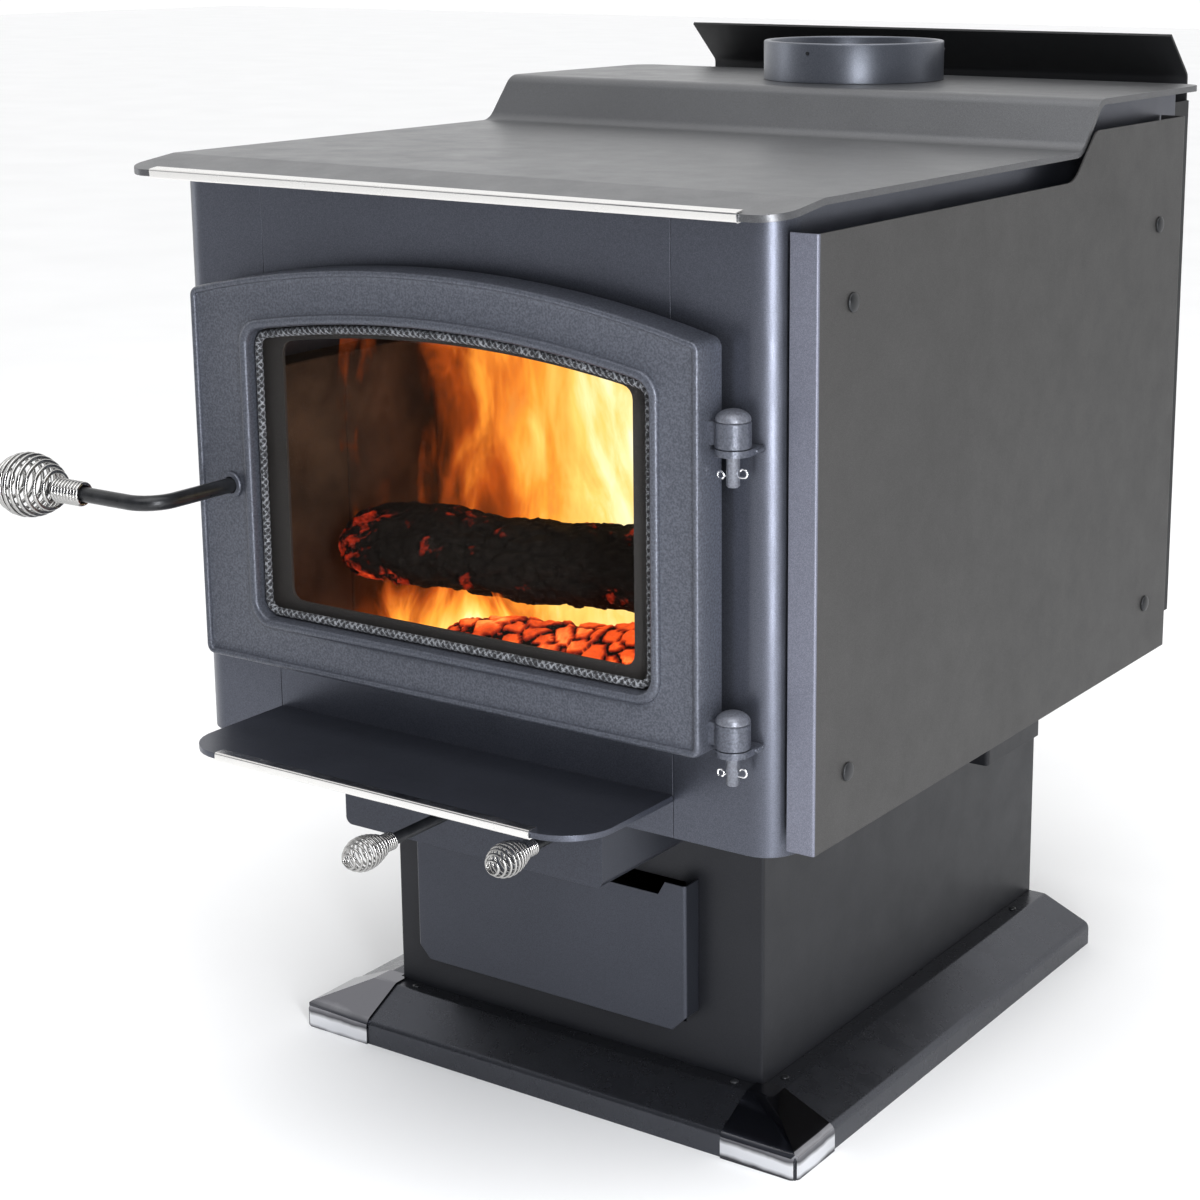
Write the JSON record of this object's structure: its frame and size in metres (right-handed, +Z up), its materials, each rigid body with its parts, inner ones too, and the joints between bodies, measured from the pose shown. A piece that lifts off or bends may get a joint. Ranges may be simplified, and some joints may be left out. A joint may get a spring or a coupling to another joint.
{
  "type": "wood burning stove",
  "caption": "Free-standing step-top steel wood stove on a pedestal, with an arched glass door, coil-grip latch, air controls, ash drawer and flue collar.",
  "frame": {"origin": "on the floor under the middle of the base, on the underside of the pedestal floor", "axes": "+X towards the door's hinges, +Y towards the back, +Z up"},
  "size_m": [0.6783, 0.8913, 0.846],
  "materials": {
    "body_paint": "matte metallic charcoal high-heat paint",
    "shield_paint": "matte charcoal high-heat paint",
    "deflector_paint": "matte black paint",
    "cast_paint": "painted sand-cast iron, satin",
    "chrome": "polished plating",
    "black_rod": "black oxide, satin",
    "fastener": "black zinc",
    "pin_steel": "zinc plated",
    "rope": "woven glass-fibre rope",
    "ceramic_glass": "clear ceramic glass with an amber tint",
    "firebrick": "porous refractory brick",
    "baffle": "refractory board",
    "tube_steel": "heat-tinted steel",
    "bare_steel": "mill-finish steel"
  },
  "bodies": {
    "stove": {"firebox_right_side": "body_paint", "firebox_left_side": "body_paint", "firebox_header": "body_paint", "firebox_sill": "body_paint", "top_plate": "body_paint", "ash_lip": "body_paint", "air_box": "body_paint", "firebox_back": "bare_steel", "firebox_floor": "bare_steel", "pedestal_floor": "bare_steel", "latch_catch": "bare_steel", "upper_hinge_clip": "chrome", "lower_hinge_clip": "chrome", "top_trim": "chrome", "ash_lip_trim": "chrome", "corner_cap_left": "chrome", "corner_cap_right": "chrome", "flue_collar": "cast_paint", "upper_hinge_bracket": "cast_paint", "lower_hinge_bracket": "cast_paint", "side_heat_shield": "shield_paint", "pedestal_shell": "shield_paint", "right_support_bracket": "shield_paint", "left_support_bracket": "shield_paint", "skirt_front": "shield_paint", "skirt_right": "shield_paint", "skirt_left": "shield_paint", "rear_heat_shield": "deflector_paint", "shield_screw_1": "fastener", "shield_screw_2": "fastener", "shield_screw_3": "fastener", "shield_screw_4": "fastener", "brick_floor": "firebrick", "brick_wall_left": "firebrick", "brick_wall_right": "firebrick", "brick_wall_back": "firebrick", "air_tube_front": "tube_steel", "air_tube_rear": "tube_steel", "baffle_board": "baffle", "upper_hinge_pin": "pin_steel", "lower_hinge_pin": "pin_steel"},
    "door": {"door_frame": "cast_paint", "door_glass": "ceramic_glass", "glass_rope": "rope", "glass_retainer": "bare_steel", "door_seal": "rope"},
    "latch": {"latch_handle": "black_rod", "latch_grip": "chrome", "latch_cam": "bare_steel"},
    "left_air_control": {"left_air_rod": "black_rod", "left_air_grip": "chrome"},
    "right_air_control": {"right_air_rod": "black_rod", "right_air_grip": "chrome"},
    "ash_drawer": {"drawer_front": "body_paint", "ash_pan": "bare_steel"},
    "ash_plug": {"ash_plug": "bare_steel"}
  },
  "joints": [
    {"name": "door_swing", "type": "hinge", "parent": "stove", "child": "door", "pos_m": [0.2557, -0.365, 0.5957], "axis": [0, 0, 1], "range_deg": [0, 110]},
    {"name": "latch_turn", "type": "hinge", "parent": "door", "child": "latch", "pos_m": [-0.2027, -0.405, 0.5147], "axis": [0, 1, 0], "range_deg": [0, 90]},
    {"name": "left_air_slide", "type": "slide", "parent": "stove", "child": "left_air_control", "axis": [0, -1, 0], "range_m": [-0.048, 0.012]},
    {"name": "right_air_slide", "type": "slide", "parent": "stove", "child": "right_air_control", "axis": [0, -1, 0], "range_m": [0, 0.06]},
    {"name": "drawer_slide", "type": "slide", "parent": "stove", "child": "ash_drawer", "axis": [0, -1, 0], "range_m": [0, 0.4]},
    {"name": "plug_lift", "type": "slide", "parent": "stove", "child": "ash_plug", "axis": [0, 0, 1], "range_m": [0, 0.15]}
  ]
}
